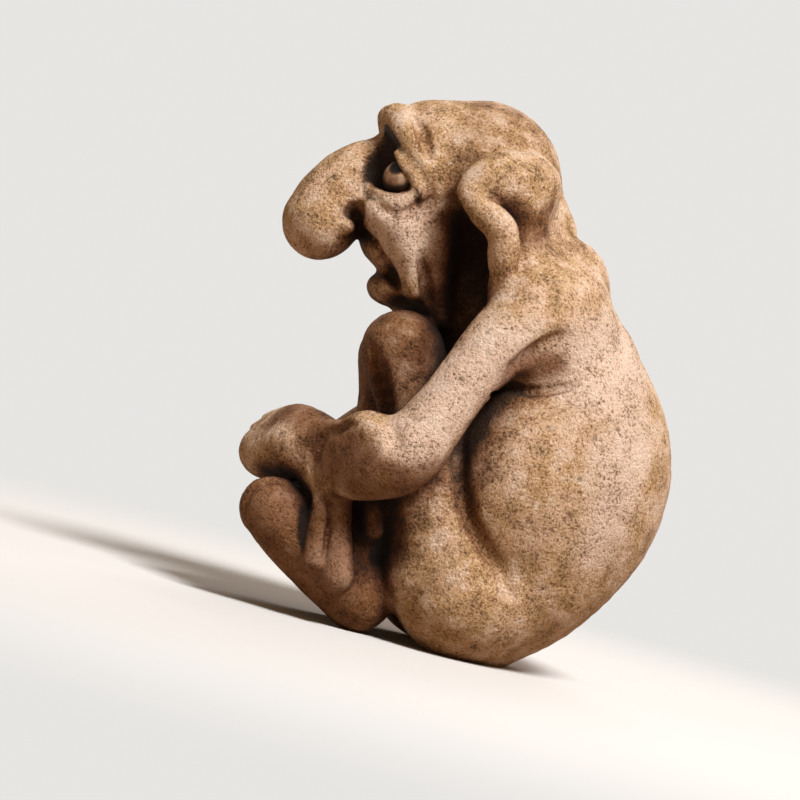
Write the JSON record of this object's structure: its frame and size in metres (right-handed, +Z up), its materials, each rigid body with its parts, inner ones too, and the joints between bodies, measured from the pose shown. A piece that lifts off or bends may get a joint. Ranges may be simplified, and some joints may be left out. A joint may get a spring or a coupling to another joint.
{
  "type": "gargoyle figurine",
  "caption": "Seated long-nosed gargoyle ornament in cast stone that hugs its drawn-up knees, as pinned and bonded castings that stand on a flat seat and heels.",
  "frame": {"origin": "on the flat of the seat, in the figure's middle plane", "axes": "+Z up out of the ground, -X the way the figure faces, -Y its left side"},
  "size_m": [0.0943, 0.0691, 0.116],
  "materials": {
    "cast_stone": "matte, grainy and pitted, with a dark brown wash in the hollows",
    "eye_stone": "smooth satin, with a painted dark pupil",
    "pin_steel": "drawn bar, cut square"
  },
  "bodies": {
    "root": {"torso": "cast_stone", "head": "cast_stone", "left_eye": "eye_stone", "right_eye": "eye_stone", "left_ear": "cast_stone", "right_ear": "cast_stone", "left_arm": "cast_stone", "right_arm": "cast_stone", "left_hand": "cast_stone", "right_hand": "cast_stone", "left_leg": "cast_stone", "right_leg": "cast_stone", "left_foot": "cast_stone", "right_foot": "cast_stone", "neck_pin": "pin_steel", "left_shoulder_pin": "pin_steel", "right_shoulder_pin": "pin_steel", "left_hip_pin": "pin_steel", "right_hip_pin": "pin_steel", "left_wrist_pin": "pin_steel", "right_wrist_pin": "pin_steel", "left_ankle_pin": "pin_steel", "right_ankle_pin": "pin_steel", "left_ear_pin": "pin_steel", "right_ear_pin": "pin_steel"}
  },
  "joints": []
}
